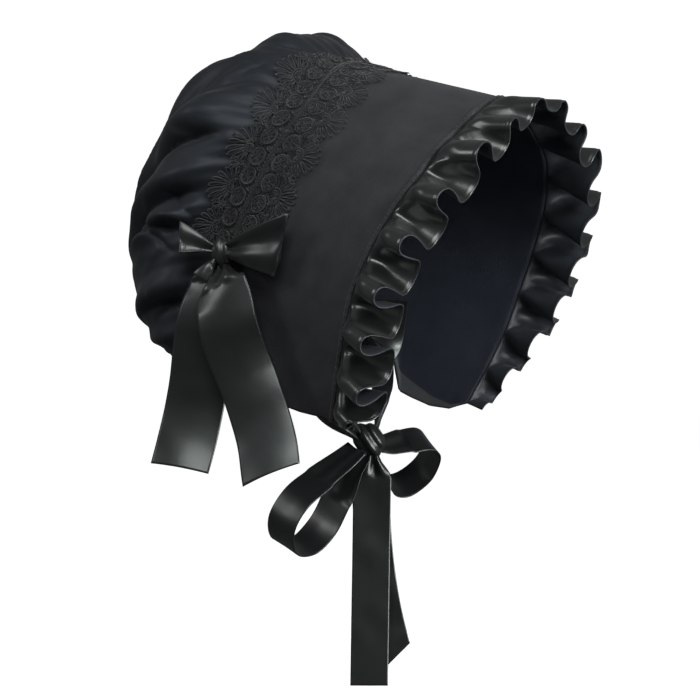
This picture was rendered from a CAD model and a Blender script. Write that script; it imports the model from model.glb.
import math

import bpy
import numpy as np
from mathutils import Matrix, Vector


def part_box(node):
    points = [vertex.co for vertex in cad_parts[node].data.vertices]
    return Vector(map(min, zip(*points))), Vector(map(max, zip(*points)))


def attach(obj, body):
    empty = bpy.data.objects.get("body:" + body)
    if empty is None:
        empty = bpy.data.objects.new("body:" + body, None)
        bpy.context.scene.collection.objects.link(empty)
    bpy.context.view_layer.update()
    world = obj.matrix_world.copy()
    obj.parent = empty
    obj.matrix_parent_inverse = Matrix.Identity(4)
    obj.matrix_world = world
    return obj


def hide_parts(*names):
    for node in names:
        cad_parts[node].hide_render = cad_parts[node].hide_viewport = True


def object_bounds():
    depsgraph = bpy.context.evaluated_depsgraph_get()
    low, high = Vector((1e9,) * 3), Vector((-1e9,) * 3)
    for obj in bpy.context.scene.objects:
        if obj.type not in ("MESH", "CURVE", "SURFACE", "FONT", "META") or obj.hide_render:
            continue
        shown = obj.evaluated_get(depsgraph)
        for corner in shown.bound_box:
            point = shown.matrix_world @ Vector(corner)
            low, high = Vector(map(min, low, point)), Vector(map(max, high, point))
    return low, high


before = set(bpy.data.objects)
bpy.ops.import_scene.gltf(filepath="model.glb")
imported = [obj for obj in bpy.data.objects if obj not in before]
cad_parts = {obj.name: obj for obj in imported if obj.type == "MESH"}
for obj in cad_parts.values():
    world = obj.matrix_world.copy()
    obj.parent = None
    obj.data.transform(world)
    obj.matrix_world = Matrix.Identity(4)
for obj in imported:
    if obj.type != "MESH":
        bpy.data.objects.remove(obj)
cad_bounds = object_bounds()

# The studio: a pale dish for floor and backdrop, with the bonnet held up over it as a head would hold it.
# A large soft box over the camera, one at each side and a low one before the face opening light it.
VIEW_AZIMUTH = math.radians(-60)
VIEW_ELEVATION = math.radians(3)
VIEW_DISTANCE = 1.5
IMAGE_PIXELS = 700
METRES_PER_PIXEL = 0.00066
SEAT_PIXEL = (352, 66)
SENSOR_MM = 36
FLOOR_BELOW = 0.05
DISH_RADIUS = 3.4
DISH_HEIGHT = 3.0
DISH_BEND = 0.9
DISH_TURNS = 96
PAPER_DARK = (0.86, 0.86, 0.86, 1)
PAPER_LIGHT = (0.90, 0.90, 0.90, 1)
PAPER_GLOW = 0.95
SKY_COLOUR = (0.97, 0.99, 1, 1)
SKY_LEVEL = 0.10
SKY_RISE = 0.06

away = Vector((
    math.sin(VIEW_AZIMUTH) * math.cos(VIEW_ELEVATION),
    -math.cos(VIEW_AZIMUTH) * math.cos(VIEW_ELEVATION),
    math.sin(VIEW_ELEVATION),
))
to_right = Vector((math.cos(VIEW_AZIMUTH), math.sin(VIEW_AZIMUTH), 0))
to_top = away.cross(to_right)
middle = IMAGE_PIXELS / 2
target = to_right * (middle - SEAT_PIXEL[0]) * METRES_PER_PIXEL
target -= to_top * (middle - SEAT_PIXEL[1]) * METRES_PER_PIXEL


def put(name, data):
    """A new object in the scene."""
    made = bpy.data.objects.new(name, data)
    bpy.context.scene.collection.objects.link(made)
    return made


camera = put("camera", bpy.data.cameras.new("camera"))
camera.data.sensor_width = SENSOR_MM
camera.data.lens = SENSOR_MM * VIEW_DISTANCE / (IMAGE_PIXELS * METRES_PER_PIXEL)
camera.location = target + away * VIEW_DISTANCE
camera.rotation_euler = away.to_track_quat("Z", "Y").to_euler()
bpy.context.scene.camera = camera
bpy.context.scene.view_settings.view_transform = "Standard"


def add(tree, kind, settings=None, **sockets):
    """A shader node with these settings. A socket is given by name, or as i0, i1 where names repeat."""
    made = tree.nodes.new(kind)
    for key, value in (settings or {}).items():
        setattr(made, key, value)
    for key, value in sockets.items():
        socket = made.inputs[int(key[1:]) if key[1:].isdigit() else key.replace("_", " ")]
        if isinstance(value, bpy.types.NodeSocket):
            tree.links.new(value, socket)
        else:
            socket.default_value = value
    return made


def sums(tree, operation, *values):
    """The result of a Math node on these values."""
    inputs = {f"i{i}": value for i, value in enumerate(values)}
    return add(tree, "ShaderNodeMath", {"operation": operation}, **inputs).outputs[0]


def blend_of(tree, mask, first, second):
    """A colour between two by a mask."""
    mixed = add(tree, "ShaderNodeMix", {"data_type": "RGBA"}, Factor=mask, A=first, B=second)
    return mixed.outputs["Result"]


def new_material(name):
    """An empty material and its node tree."""
    material = bpy.data.materials.new(name)
    material.use_nodes = True
    material.node_tree.nodes.clear()
    return material, material.node_tree


def surface(tree, **sockets):
    """The shader of a material with these sockets, joined to its output."""
    shader = add(tree, "ShaderNodeBsdfPrincipled", **sockets)
    add(tree, "ShaderNodeOutputMaterial", Surface=shader.outputs[0])


def studio_dish():
    """A round floor that bends up into a wall."""
    floor_z = cad_bounds[0][2] - FLOOR_BELOW
    flat = DISH_RADIUS - DISH_BEND
    bend = [math.radians(a) for a in range(0, 91, 6)]
    profile = [(0, 0)] + [(flat + DISH_BEND * math.sin(a), DISH_BEND * (1 - math.cos(a))) for a in bend]
    profile += [(DISH_RADIUS, DISH_HEIGHT)]
    turns = [math.tau * k / DISH_TURNS for k in range(DISH_TURNS)]
    points = [(r * math.cos(turn), r * math.sin(turn), floor_z + z) for r, z in profile for turn in turns]
    faces = []
    for row in range(0, (len(profile) - 1) * DISH_TURNS, DISH_TURNS):
        for k in range(DISH_TURNS):
            after = row + (k + 1) % DISH_TURNS
            faces.append((row + k, after, after + DISH_TURNS, row + k + DISH_TURNS))
    mesh = bpy.data.meshes.new("studio_dish")
    mesh.from_pydata(points, [], faces)
    mesh.shade_smooth()
    material, tree = new_material("studio paper")
    grain = add(tree, "ShaderNodeTexNoise", Scale=40.0, Detail=3.0).outputs["Fac"]
    paper = blend_of(tree, grain, PAPER_DARK, PAPER_LIGHT)
    surface(tree, Base_Color=paper, Roughness=0.9, Emission_Color=paper, Emission_Strength=PAPER_GLOW)
    mesh.materials.append(material)
    dish = put("studio_dish", mesh)
    dish.visible_diffuse = False
    dish.visible_glossy = False


studio_dish()

# Square soft boxes, aimed at the bonnet. Columns: name, the way to it, distance, size, power in watts.
SOFT_BOXES = (
    ("soft_box_over", away + Vector((0, 0, 0.75)), 1.9, 1.0, 16),
    ("soft_box_right", to_right * 0.80 + away * 0.70 + Vector((0, 0, 0.40)), 2.0, 0.5, 16),
    ("soft_box_left", -to_right * 0.95 + away * 0.25 + Vector((0, 0, 0.55)), 2.2, 0.7, 6),
    ("soft_box_front", Vector((0.10, -1.0, -0.20)), 1.2, 0.7, 12),
)
for name, way, distance, size, power in SOFT_BOXES:
    light = bpy.data.lights.new(name, "AREA")
    light.size = size
    light.energy = power
    lamp = put(name, light)
    lamp.location = target + way.normalized() * distance
    lamp.rotation_euler = way.to_track_quat("Z", "Y").to_euler()
world = bpy.data.worlds.new("studio sky")
world.use_nodes = True
sky = world.node_tree
heading = add(sky, "ShaderNodeSeparateXYZ", Vector=add(sky, "ShaderNodeTexCoord").outputs["Generated"])
brightness = sums(sky, "MULTIPLY_ADD", heading.outputs[2], SKY_RISE, SKY_LEVEL)
sky.links.new(brightness, sky.nodes["Background"].inputs["Strength"])
sky.nodes["Background"].inputs["Color"].default_value = SKY_COLOUR
bpy.context.scene.world = world

# The brim is stiffened cloth from the crown seam forward to the face seam, running down into a cheek flap each
# side. It is a plain weave, matt black outside, over a bluish lining with a paler facing at the flaps' hems.
GAP = 0.0003
BRIM_CLOTH = 0.0020
SEAM_HALF_WIDTH = 0.093
SEAM_FALL = 0.195
SEAM_SETBACK = 0.048
BRIM_LENGTH = 0.111
BRIM_DIP = 0.026
FACE_HALF_WIDTH = 0.117
FACE_FALL = 0.204
FACE_LEAN = 0.072
FLAP_DROP = 0.013
FLAP_REACH = 0.045
BRIM_WAVE = 0.0009
BRIM_FLAT_ENDS = 0.1
BRIM_THREAD = 0.0006
BRIM_SLUB = 1.4
BRIM_DARK = (0.0215, 0.0230, 0.0260, 1)
BRIM_LIGHT = (0.0410, 0.0435, 0.0480, 1)
BRIM_FINISH = {"roughness": 0.85, "fuzz": 0.10}
LINING_DARK = (0.017, 0.022, 0.033, 1)
LINING_LIGHT = (0.026, 0.032, 0.045, 1)
LINING_FINISH = {"roughness": 0.90, "fuzz": 0.02}
FACING = (0.078, 0.084, 0.088, 1)
FACING_SLOPE = 0.25
FACING_SHARPNESS = 900.0

# Sections of the two seams, from the top centre down one side.
# Columns: share of the half-width, height lost as a share of the fall, depth as a share of the setback.
CROWN_SEAM = (
    (0.00, 0.000, 0.00),
    (0.44, 0.040, 0.06),
    (0.77, 0.165, 0.24),
    (0.90, 0.265, 0.42),
    (0.97, 0.400, 0.66),
    (1.00, 0.580, 0.95),
    (0.98, 0.750, 0.98),
    (0.92, 0.885, 0.84),
    (0.86, 1.000, 0.66),
)
FACE_SEAM = (
    (0.00, 0.000, 0.000),
    (0.57, 0.140, 0.060),
    (0.77, 0.245, 0.155),
    (0.90, 0.350, 0.290),
    (0.98, 0.475, 0.455),
    (1.00, 0.605, 0.605),
    (0.965, 0.745, 0.730),
    (0.885, 0.875, 0.860),
    (0.785, 1.000, 1.000),
)
# Columns: share of the brim's length, drop of the right and of the left flap as a share of FLAP_DROP.
FLAP_HEM = (
    (0.00, 0.0, 0.0),
    (0.12, -0.2, -0.2),
    (0.23, -0.4, -0.4),
    (0.30, 1.0, 1.3),
    (0.42, 0.9, 1.3),
    (0.62, 0.6, 1.2),
    (0.82, 0.2, 0.8),
    (1.00, 0.0, 0.0),
)


def travel(line):
    """How far along a line of points each of them is."""
    return np.concatenate([[0], np.cumsum(np.linalg.norm(np.diff(line, axis=0), axis=1))])


def smooth_curve(points, steps=16):
    """A smooth curve: close points on it, each one's share of its length, and the length."""
    p = np.array(points, float)
    p = np.vstack([2 * p[0] - p[1], p, 2 * p[-1] - p[-2]])
    t = (np.arange(steps) / steps)[:, None]
    parts = []
    for a, b, c, d in zip(p, p[1:], p[2:], p[3:]):
        bend = 2 * a - 5 * b + 4 * c - d
        twist = 3 * b - a - 3 * c + d
        parts.append(0.5 * (2 * b + (c - a) * t + bend * t**2 + twist * t**3))
    out = np.vstack(parts + [p[-2:-1]])
    travelled = travel(out)
    return out, travelled / travelled[-1], travelled[-1]


def on_curve(curve, share):
    """The points of a smooth curve at these shares of its length."""
    points, shares, _ = curve
    return np.stack([np.interp(share, shares, points[:, k]) for k in range(points.shape[1])], -1)


def ease(x):
    """A smooth step from 0 to 1."""
    x = np.clip(x, 0, 1)
    return x * x * (3 - 2 * x)


def unit(v):
    v = np.asarray(v, float)
    return v / np.maximum(np.linalg.norm(v, axis=-1, keepdims=True), 1e-12)


def uneven(x, y, seed):
    """Smooth random hills from -1 to 1, about one to each unit of x and y."""
    size = 64
    table = np.random.default_rng(seed).uniform(-1, 1, (size, size))
    x, y = np.broadcast_arrays(np.asarray(x, float), np.asarray(y, float))
    i, j = np.floor(x).astype(int), np.floor(y).astype(int)
    a, b = ease(x - i), ease(y - j)
    near = table[i % size, j % size] * (1 - b) + table[i % size, (j + 1) % size] * b
    far = table[(i + 1) % size, j % size] * (1 - b) + table[(i + 1) % size, (j + 1) % size] * b
    return near * (1 - a) + far * a


def seam(rows, half_width, fall, setback, top):
    """An arch from the right end over the top to the left end, from the sections of one side."""
    side = [(w * half_width, top[1] + d * setback, top[2] - h * fall) for w, h, d in rows]
    mirrored = [(-x, y, z) for x, y, z in side[:0:-1]]
    return smooth_curve(mirrored + side)


crown_seam = seam(CROWN_SEAM, SEAM_HALF_WIDTH, SEAM_FALL, SEAM_SETBACK, (0, 0, BRIM_CLOTH))
face_seam = seam(FACE_SEAM, FACE_HALF_WIDTH, FACE_FALL, FACE_LEAN, (0, -BRIM_LENGTH, BRIM_CLOTH - BRIM_DIP))
flap_share = 2 * FLAP_REACH / crown_seam[2]


def on_seam(curve, u):
    """A seam's point, u from -1 at the wearer's right end to 1 at the left end."""
    return on_curve(curve, (np.asarray(u, float) + 1) / 2)


def brim_at(u, v):
    """The brim's outer face: u along the seams, v from the crown seam (0) to the face seam (1)."""
    u, v = np.broadcast_arrays(np.asarray(u, float), np.asarray(v, float))
    point = on_seam(crown_seam, u) * (1 - v)[..., None] + on_seam(face_seam, u) * v[..., None]
    hem = np.array(FLAP_HEM)
    right, left = (np.interp(v, hem[:, 0], hem[:, k]) for k in (1, 2))
    drop = FLAP_DROP * np.where(u < 0, right, left)
    point[..., 2] -= drop * ease((np.abs(u) - 1 + flap_share) / flap_share)
    return point


def facing_out(surface, first, second):
    """Unit normals of a surface that two shares run over, the first to the left and the second backwards."""
    step = 0.004
    along = surface(first + step, second) - surface(first - step, second)
    back = surface(first, second + step) - surface(first, second - step)
    return unit(np.cross(along, back))


def brim_out(u, v):
    """The brim's outward normals."""
    return facing_out(lambda a, b: brim_at(a, -b), u, -v)


def cloth(name, grid, thickness, side, materials):
    """A sheet of cloth through a grid of points, riding on the bonnet. Its UVs are metres along and across
    it, and its second UVs are metres from its ends and from its long edges. side is -1 where the grid is the
    outer face and 0 where it is the middle. A second material goes on the back."""
    rows, columns = grid.shape[:2]
    along = np.stack([travel(grid[:, column]) for column in range(columns)], 1)
    across = np.stack([travel(grid[row]) for row in range(rows)])
    index = np.arange(rows * columns).reshape(rows, columns)
    quads = np.stack([index[:-1, :-1], index[1:, :-1], index[1:, 1:], index[:-1, 1:]], -1).reshape(-1, 4)
    mesh = bpy.data.meshes.new(name)
    mesh.from_pydata(grid.reshape(-1, 3).tolist(), [], quads.tolist())
    corner = quads.ravel()
    length = along[:, columns // 2][:, None] + np.zeros((1, columns))
    ends = np.minimum(length, length[-1:] - length)
    edges = np.minimum(across, across[:, -1:] - across)
    for layer, first, second in (("UVMap", length, across), ("Edge", ends, edges)):
        pairs = np.stack([first.ravel()[corner], second.ravel()[corner]], -1)
        mesh.uv_layers.new(name=layer).data.foreach_set("uv", pairs.ravel())
    mesh.shade_smooth()
    for material in materials:
        mesh.materials.append(material)
    piece = put(name, mesh)
    thicken = piece.modifiers.new("thickness", "SOLIDIFY")
    thicken.thickness = thickness
    thicken.offset = side
    thicken.material_offset = len(materials) - 1
    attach(piece, "root")
    return piece


def new_group(name, inputs, outputs):
    """A shader node group with these number, colour or vector sockets, and its input and output nodes."""
    group = bpy.data.node_groups.new(name, "ShaderNodeTree")
    kinds = {"float": "NodeSocketFloat", "colour": "NodeSocketColor", "vector": "NodeSocketVector"}
    for socket, kind in inputs:
        group.interface.new_socket(socket, in_out="INPUT", socket_type=kinds[kind])
    for socket, kind in outputs:
        group.interface.new_socket(socket, in_out="OUTPUT", socket_type=kinds[kind])
    return group, group.nodes.new("NodeGroupInput"), group.nodes.new("NodeGroupOutput")


def place(tree, group, **sockets):
    """A node group placed in a material with these inputs."""
    return add(tree, "ShaderNodeGroup", {"node_tree": group}, **sockets).outputs


def weave_group():
    """Plain weave: crossing threads that rise and dip by turns, with thick and thin places."""
    inputs = (("Place", "vector"), ("Thread", "float"), ("Slub", "float"))
    group, given, out = new_group("plain weave", inputs, (("Height", "float"), ("Shade", "float")))
    parts = add(group, "ShaderNodeSeparateXYZ", Vector=given.outputs["Place"])
    turn = sums(group, "DIVIDE", math.pi, given.outputs["Thread"])
    slubs = add(group, "ShaderNodeTexNoise", Vector=given.outputs["Place"], Scale=900.0, Detail=3.0)
    wander = sums(group, "MULTIPLY", slubs.outputs["Fac"], given.outputs["Slub"])
    warp = sums(group, "SINE", sums(group, "ADD", sums(group, "MULTIPLY", parts.outputs[0], turn), wander))
    weft = sums(group, "SINE", sums(group, "ADD", sums(group, "MULTIPLY", parts.outputs[1], turn), wander))
    cross = sums(group, "MULTIPLY", warp, weft)
    height = sums(group, "MULTIPLY_ADD", cross, 0.5, 0.5)
    group.links.new(height, out.inputs["Height"])
    shade = sums(group, "MULTIPLY_ADD", height, 0.55, sums(group, "MULTIPLY", slubs.outputs["Fac"], 0.45))
    group.links.new(shade, out.inputs["Shade"])
    return group


def mottle_group():
    """Broad soft patches, as dye and handling leave on old cloth."""
    inputs = (("Place", "vector"), ("Size", "float"), ("Spread", "float"))
    group, given, out = new_group("mottling", inputs, (("Mask", "float"),))
    scale = sums(group, "DIVIDE", 1.0, given.outputs["Size"])
    patches = add(group, "ShaderNodeTexNoise", Vector=given.outputs["Place"], Scale=scale, Detail=4.0)
    patches.inputs["Roughness"].default_value = 0.6
    centred = sums(group, "SUBTRACT", patches.outputs["Fac"], 0.5)
    mask = sums(group, "MULTIPLY_ADD", centred, given.outputs["Spread"], 0.5)
    clamped = add(group, "ShaderNodeClamp", Value=mask)
    group.links.new(clamped.outputs[0], out.inputs["Mask"])
    return group


plain_weave = weave_group()
mottling = mottle_group()


def woven(name, dark, light, roughness, fuzz, facing=None):
    """Matt plain-woven cloth. A facing is a second colour on a strip that widens from a corner of each end."""
    material, tree = new_material(name)
    metres = add(tree, "ShaderNodeUVMap", {"uv_map": "UVMap"}).outputs[0]
    weave = place(tree, plain_weave, Place=metres, Thread=BRIM_THREAD, Slub=BRIM_SLUB)
    patches = place(tree, mottling, Place=metres, Size=0.022, Spread=3.2)["Mask"]
    dusty = sums(tree, "MULTIPLY_ADD", weave["Shade"], 0.4, sums(tree, "MULTIPLY", patches, 0.7))
    colour = blend_of(tree, dusty, dark, light)
    if facing:
        across = add(tree, "ShaderNodeSeparateXYZ", Vector=metres).outputs[1]
        edge = add(tree, "ShaderNodeUVMap", {"uv_map": "Edge"}).outputs[0]
        from_end = add(tree, "ShaderNodeSeparateXYZ", Vector=edge).outputs[0]
        inside = sums(tree, "SUBTRACT", sums(tree, "MULTIPLY", across, FACING_SLOPE), from_end)
        sharp = sums(tree, "MULTIPLY", inside, FACING_SHARPNESS)
        strip = add(tree, "ShaderNodeClamp", Value=sharp).outputs[0]
        faced = sums(tree, "MULTIPLY", strip, sums(tree, "MULTIPLY_ADD", dusty, 0.4, 0.6))
        colour = blend_of(tree, faced, colour, facing)
    rough = sums(tree, "MULTIPLY_ADD", patches, 0.12, roughness - 0.06)
    bump = add(tree, "ShaderNodeBump", Height=weave["Height"], Strength=0.55, Distance=0.0002).outputs[0]
    nap = {"Sheen_Weight": fuzz, "Sheen_Roughness": 0.5}
    surface(tree, Base_Color=colour, Roughness=rough, Normal=bump, Specular_IOR_Level=0.25, **nap)
    return material


brim_cloth = woven("brim cloth", BRIM_DARK, BRIM_LIGHT, **BRIM_FINISH)
lining = woven("brim lining", LINING_DARK, LINING_LIGHT, **LINING_FINISH, facing=FACING)

u = np.linspace(-1, 1, 301)[:, None]
v = np.linspace(0, 1, 45)[None, :]
wave = uneven(u * 7 + 3, v * 2.5, 11) + 0.5 * uneven(u * 17, v * 5, 12)
swell = BRIM_WAVE * wave * ease(v / BRIM_FLAT_ENDS) * ease((1 - v) / BRIM_FLAT_ENDS)
brim_grid = brim_at(u, v) + brim_out(u, v) * swell[..., None]
brim = cloth("brim_cloth", brim_grid[:, ::-1], BRIM_CLOTH, -1, (brim_cloth, lining))
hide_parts("brim")

# The band over the face seam is a narrow folded strip of the brim's cloth. It covers the frill's raw edge, and
# two rows of machine stitches hold it.
PIPING_WIDTH = 0.0032
PIPING_SETBACK = 0.0014
PIPING_RISE = 0.0009
PIPING_CLOTH = 0.0005
STITCH_PITCH = 0.0026
STITCH_LENGTH = 0.0019
STITCH_RADIUS = 0.00022
STITCH_ROWS = (0.24, 0.76)
STITCH_DENT = 0.45
STITCH_DENT_WIDTH = 0.07
STITCH_PUCKER = 0.25
STITCH_FLATNESS = 0.8
STITCH_SIDES = 5
BAND_DARK = (0.018, 0.0185, 0.020, 1)
BAND_LIGHT = (0.048, 0.051, 0.056, 1)
BAND_FINISH = {"roughness": 0.80, "fuzz": 0.12}
THREAD_DARK = (0.020, 0.020, 0.022, 1)
THREAD_LIGHT = (0.130, 0.132, 0.140, 1)
THREAD_FINISH = {"pitch": 0.0005, "depth": 0.00005, "roughness": 0.6, "fuzz": 0.1}


def seam_run(curve, u):
    """The way that a seam runs at u."""
    return on_seam(curve, np.clip(u + 0.01, -1, 1)) - on_seam(curve, np.clip(u - 0.01, -1, 1))


def face_frame(u):
    """On the face seam: its point, and unit vectors along it, forward over the brim's edge, and outward."""
    point = brim_at(u, 1.0)
    along = unit(seam_run(face_seam, u))
    forward = unit(on_seam(face_seam, u) - on_seam(crown_seam, u))
    outward = unit(np.cross(forward, along))
    return point, along, unit(np.cross(along, outward)), outward


def twist_group():
    """Strands that wind round a thread, from metres along it and turns round it."""
    inputs = (("Place", "vector"), ("Pitch", "float"), ("Size", "float"))
    group, given, out = new_group("twisted strands", inputs, (("Height", "float"),))
    parts = add(group, "ShaderNodeSeparateXYZ", Vector=given.outputs["Place"])
    along = sums(group, "DIVIDE", parts.outputs[0], given.outputs["Pitch"])
    winding = sums(group, "ADD", along, sums(group, "DIVIDE", parts.outputs[1], given.outputs["Size"]))
    wave = sums(group, "SINE", sums(group, "MULTIPLY", winding, math.tau))
    group.links.new(sums(group, "MULTIPLY_ADD", wave, 0.5, 0.5), out.inputs["Height"])
    return group


twisted_strands = twist_group()


def thread_material(name, dark, light, pitch, depth, roughness, fuzz):
    """Matt twisted thread."""
    material, tree = new_material(name)
    metres = add(tree, "ShaderNodeUVMap", {"uv_map": "UVMap"}).outputs[0]
    strands = place(tree, twisted_strands, Place=metres, Pitch=pitch, Size=1.0)["Height"]
    position = add(tree, "ShaderNodeTexCoord").outputs["Object"]
    patches = place(tree, mottling, Place=position, Size=0.012, Spread=2.2)["Mask"]
    lit = sums(tree, "MULTIPLY", sums(tree, "MULTIPLY_ADD", strands, 0.6, 0.4), patches)
    colour = blend_of(tree, lit, dark, light)
    bump = add(tree, "ShaderNodeBump", Height=strands, Strength=0.8, Distance=depth).outputs[0]
    rough = sums(tree, "MULTIPLY_ADD", patches, 0.15, roughness - 0.08)
    surface(tree, Base_Color=colour, Roughness=rough, Normal=bump, Sheen_Weight=fuzz, Specular_IOR_Level=0.35)
    return material


def tubes(name, runs, sides, material):
    """Round threads in one mesh. Each run holds the points, the thread's radius, the way that is up at each
    point, and the share of its height that the thread keeps. UVs are metres along and turns round."""
    points, faces, pairs, start = [], [], [], 0
    turn = np.arange(sides)[None, :, None]
    angles = math.tau * turn / sides
    later, further = np.array([0, 0, 1, 1]), np.array([0, 1, 1, 0])
    for line, radius, above, flatness in runs:
        run = unit(np.gradient(line, axis=0))
        beside = unit(np.cross(run, above))
        over = np.cross(beside, run)
        ring = beside[:, None] * np.cos(angles) + over[:, None] * np.sin(angles) * flatness
        points.append((line[:, None] + ring * radius).reshape(-1, 3))
        row = np.arange(len(line) - 1)[:, None, None] + later
        quads = (row * sides + start) + (turn + further) % sides
        end = start + len(line) * sides
        faces += quads.reshape(-1, 4).tolist()
        faces += [list(range(start + sides - 1, start - 1, -1)), list(range(end - sides, end))]
        pair = np.stack(np.broadcast_arrays(travel(line)[row], (turn + further) / sides), -1)
        pairs += [pair.reshape(-1, 2), np.zeros((2 * sides, 2))]
        start = end
    mesh = bpy.data.meshes.new(name)
    mesh.from_pydata(np.concatenate(points).tolist(), [], faces)
    mesh.uv_layers.new(name="UVMap").data.foreach_set("uv", np.concatenate(pairs).ravel())
    mesh.shade_smooth()
    mesh.materials.append(material)
    piece = put(name, mesh)
    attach(piece, "root")
    return piece


u = np.linspace(-1, 1, 601)
point, along, forward, outward = face_frame(u)
across = np.linspace(0, 1, 13)
bulge = np.sin(np.pi * across) ** 0.5
for row in STITCH_ROWS:
    bulge = bulge - STITCH_DENT * np.exp(-(((across - row) / STITCH_DENT_WIDTH) ** 2))
pucker = 1 + STITCH_PUCKER * np.sin(u * math.tau * face_seam[2] / 2 / STITCH_PITCH / 2)
lift = GAP + PIPING_RISE * bulge[None, :] * pucker[:, None]
ahead = (0.5 - across) * PIPING_WIDTH - PIPING_SETBACK
piping_grid = point[:, None] + outward[:, None] * lift[..., None] + forward[:, None] * ahead[None, :, None]
band_cloth = woven("band cloth", BAND_DARK, BAND_LIGHT, **BAND_FINISH)
piping = cloth("face_band", piping_grid, PIPING_CLOTH, -1, (band_cloth,))
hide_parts("brim_piping")


def stitch_row(line, above):
    """Short threads that rise out of a seam and dip into it again, along a line of points."""
    travelled = travel(line)
    share = np.linspace(-0.5, 0.5, 6)
    hump = STITCH_RADIUS * (1.6 * np.cos(np.pi * share) - 0.8)
    runs = []
    for k in range(int(travelled[-1] / STITCH_PITCH)):
        place_on = (k + 0.5) * STITCH_PITCH + share * STITCH_LENGTH
        on_line = np.stack([np.interp(place_on, travelled, line[:, i]) for i in range(3)], -1)
        up = unit(np.stack([np.interp(place_on, travelled, above[:, i]) for i in range(3)], -1))
        runs.append((on_line + up * hump[:, None], STITCH_RADIUS, up, STITCH_FLATNESS))
    return runs


sewing_thread = thread_material("sewing thread", THREAD_DARK, THREAD_LIGHT, **THREAD_FINISH)
stitches = []
for row in STITCH_ROWS:
    at_row = np.interp(row, across, np.arange(len(across)))
    low = int(at_row)
    line = piping_grid[:, low] * (1 - at_row + low) + piping_grid[:, low + 1] * (at_row - low)
    stitches += stitch_row(line, outward)
tubes("band_stitches", stitches, STITCH_SIDES, sewing_thread)

# The crown is a satin bag, gathered into the crown seam and drawn in at the nape. It stands up in puffs and
# creases over the head, and its cloth is soft, so broad folds carry many small ones.
CROWN_CLOTH = 0.0010
CROWN_RISE = 0.094
CROWN_SWELL = 0.060
CROWN_BACK_SWELL = 0.111
NAPE_DEPTH = 0.116
NAPE_HALF_WIDTH = 0.030
FOLD_HEIGHT = 0.0095
GATHER_HEIGHT = 0.0004
GATHER_PITCH = 0.0085
FINE_FOLD_SHARE = 0.7
CROWN_UNEVEN = 0.0006
CROWN_DARK = (0.0080, 0.0092, 0.0118, 1)
CROWN_LIGHT = (0.0160, 0.0184, 0.0225, 1)
CROWN_SHINE = (0.78, 0.89, 1.00, 1)
CROWN_FINISH = {"roughness": 0.56, "gloss": 0.40, "polish": 0.05, "wrinkle": 0.0008, "shine": CROWN_SHINE}
CROWN_BACK_DARK = (0.044, 0.053, 0.072, 1)
CROWN_BACK_LIGHT = (0.064, 0.076, 0.100, 1)
CROWN_BACK_FINISH = {"roughness": 0.70, "gloss": 0.30, "polish": 0.0, "wrinkle": 0.0006}

# Columns: place on the seam, share of CROWN_RISE, of CROWN_SWELL, of NAPE_HALF_WIDTH, and of
# CROWN_BACK_SWELL back and up.
CROWN_SECTIONS = (
    (0.00, 0.96, 1.00, 0.00, 0.86, 1.00),
    (0.25, 0.82, 1.00, 0.70, 0.72, 0.92),
    (0.50, 0.44, 0.90, 1.90, 0.44, 0.70),
    (0.70, 0.26, 0.78, 2.30, 0.24, 0.40),
    (0.88, 0.15, 0.64, 2.00, 0.11, 0.10),
    (1.00, 0.10, 0.55, 1.50, 0.05, 0.00),
)
# Broad folds, ridges up and creases down. Columns: place at the seam and at the back, where it starts and
# ends, half its width, share of FOLD_HEIGHT.
CROWN_FOLDS = (
    (-0.92, -0.88, 0.04, 0.80, 0.030, 0.45),
    (-0.84, -0.80, 0.05, 0.60, 0.020, -0.45),
    (-0.77, -0.78, 0.08, 0.85, 0.036, 0.55),
    (-0.67, -0.56, 0.10, 0.60, 0.020, -0.75),
    (-0.60, -0.60, 0.04, 0.55, 0.028, 0.80),
    (-0.56, -0.52, 0.06, 0.70, 0.022, -0.70),
    (-0.50, -0.46, 0.04, 0.80, 0.032, 0.60),
    (-0.42, -0.36, 0.08, 0.70, 0.018, -1.05),
    (-0.36, -0.34, 0.10, 0.75, 0.036, 0.85),
    (-0.27, -0.30, 0.03, 0.34, 0.028, -0.85),
    (-0.16, -0.38, 0.12, 0.80, 0.028, 0.95),
    (-0.10, -0.20, 0.04, 0.60, 0.036, 0.70),
    (-0.01, -0.06, 0.04, 0.60, 0.022, -0.80),
    (0.08, 0.05, 0.04, 0.70, 0.036, 0.90),
    (0.17, 0.15, 0.04, 0.60, 0.020, -0.85),
    (0.25, 0.27, 0.04, 0.80, 0.036, 0.80),
    (0.34, 0.35, 0.05, 0.60, 0.020, -0.90),
    (0.42, 0.46, 0.04, 0.80, 0.036, 0.70),
    (0.50, 0.54, 0.06, 0.70, 0.020, -0.80),
    (0.59, 0.63, 0.04, 0.70, 0.036, 0.75),
    (0.67, 0.62, 0.08, 0.60, 0.020, -0.70),
    (0.76, 0.77, 0.06, 0.85, 0.036, 0.60),
    (0.86, 0.84, 0.05, 0.60, 0.020, -0.45),
    (0.93, 0.90, 0.04, 0.80, 0.030, 0.45),
)
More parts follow.
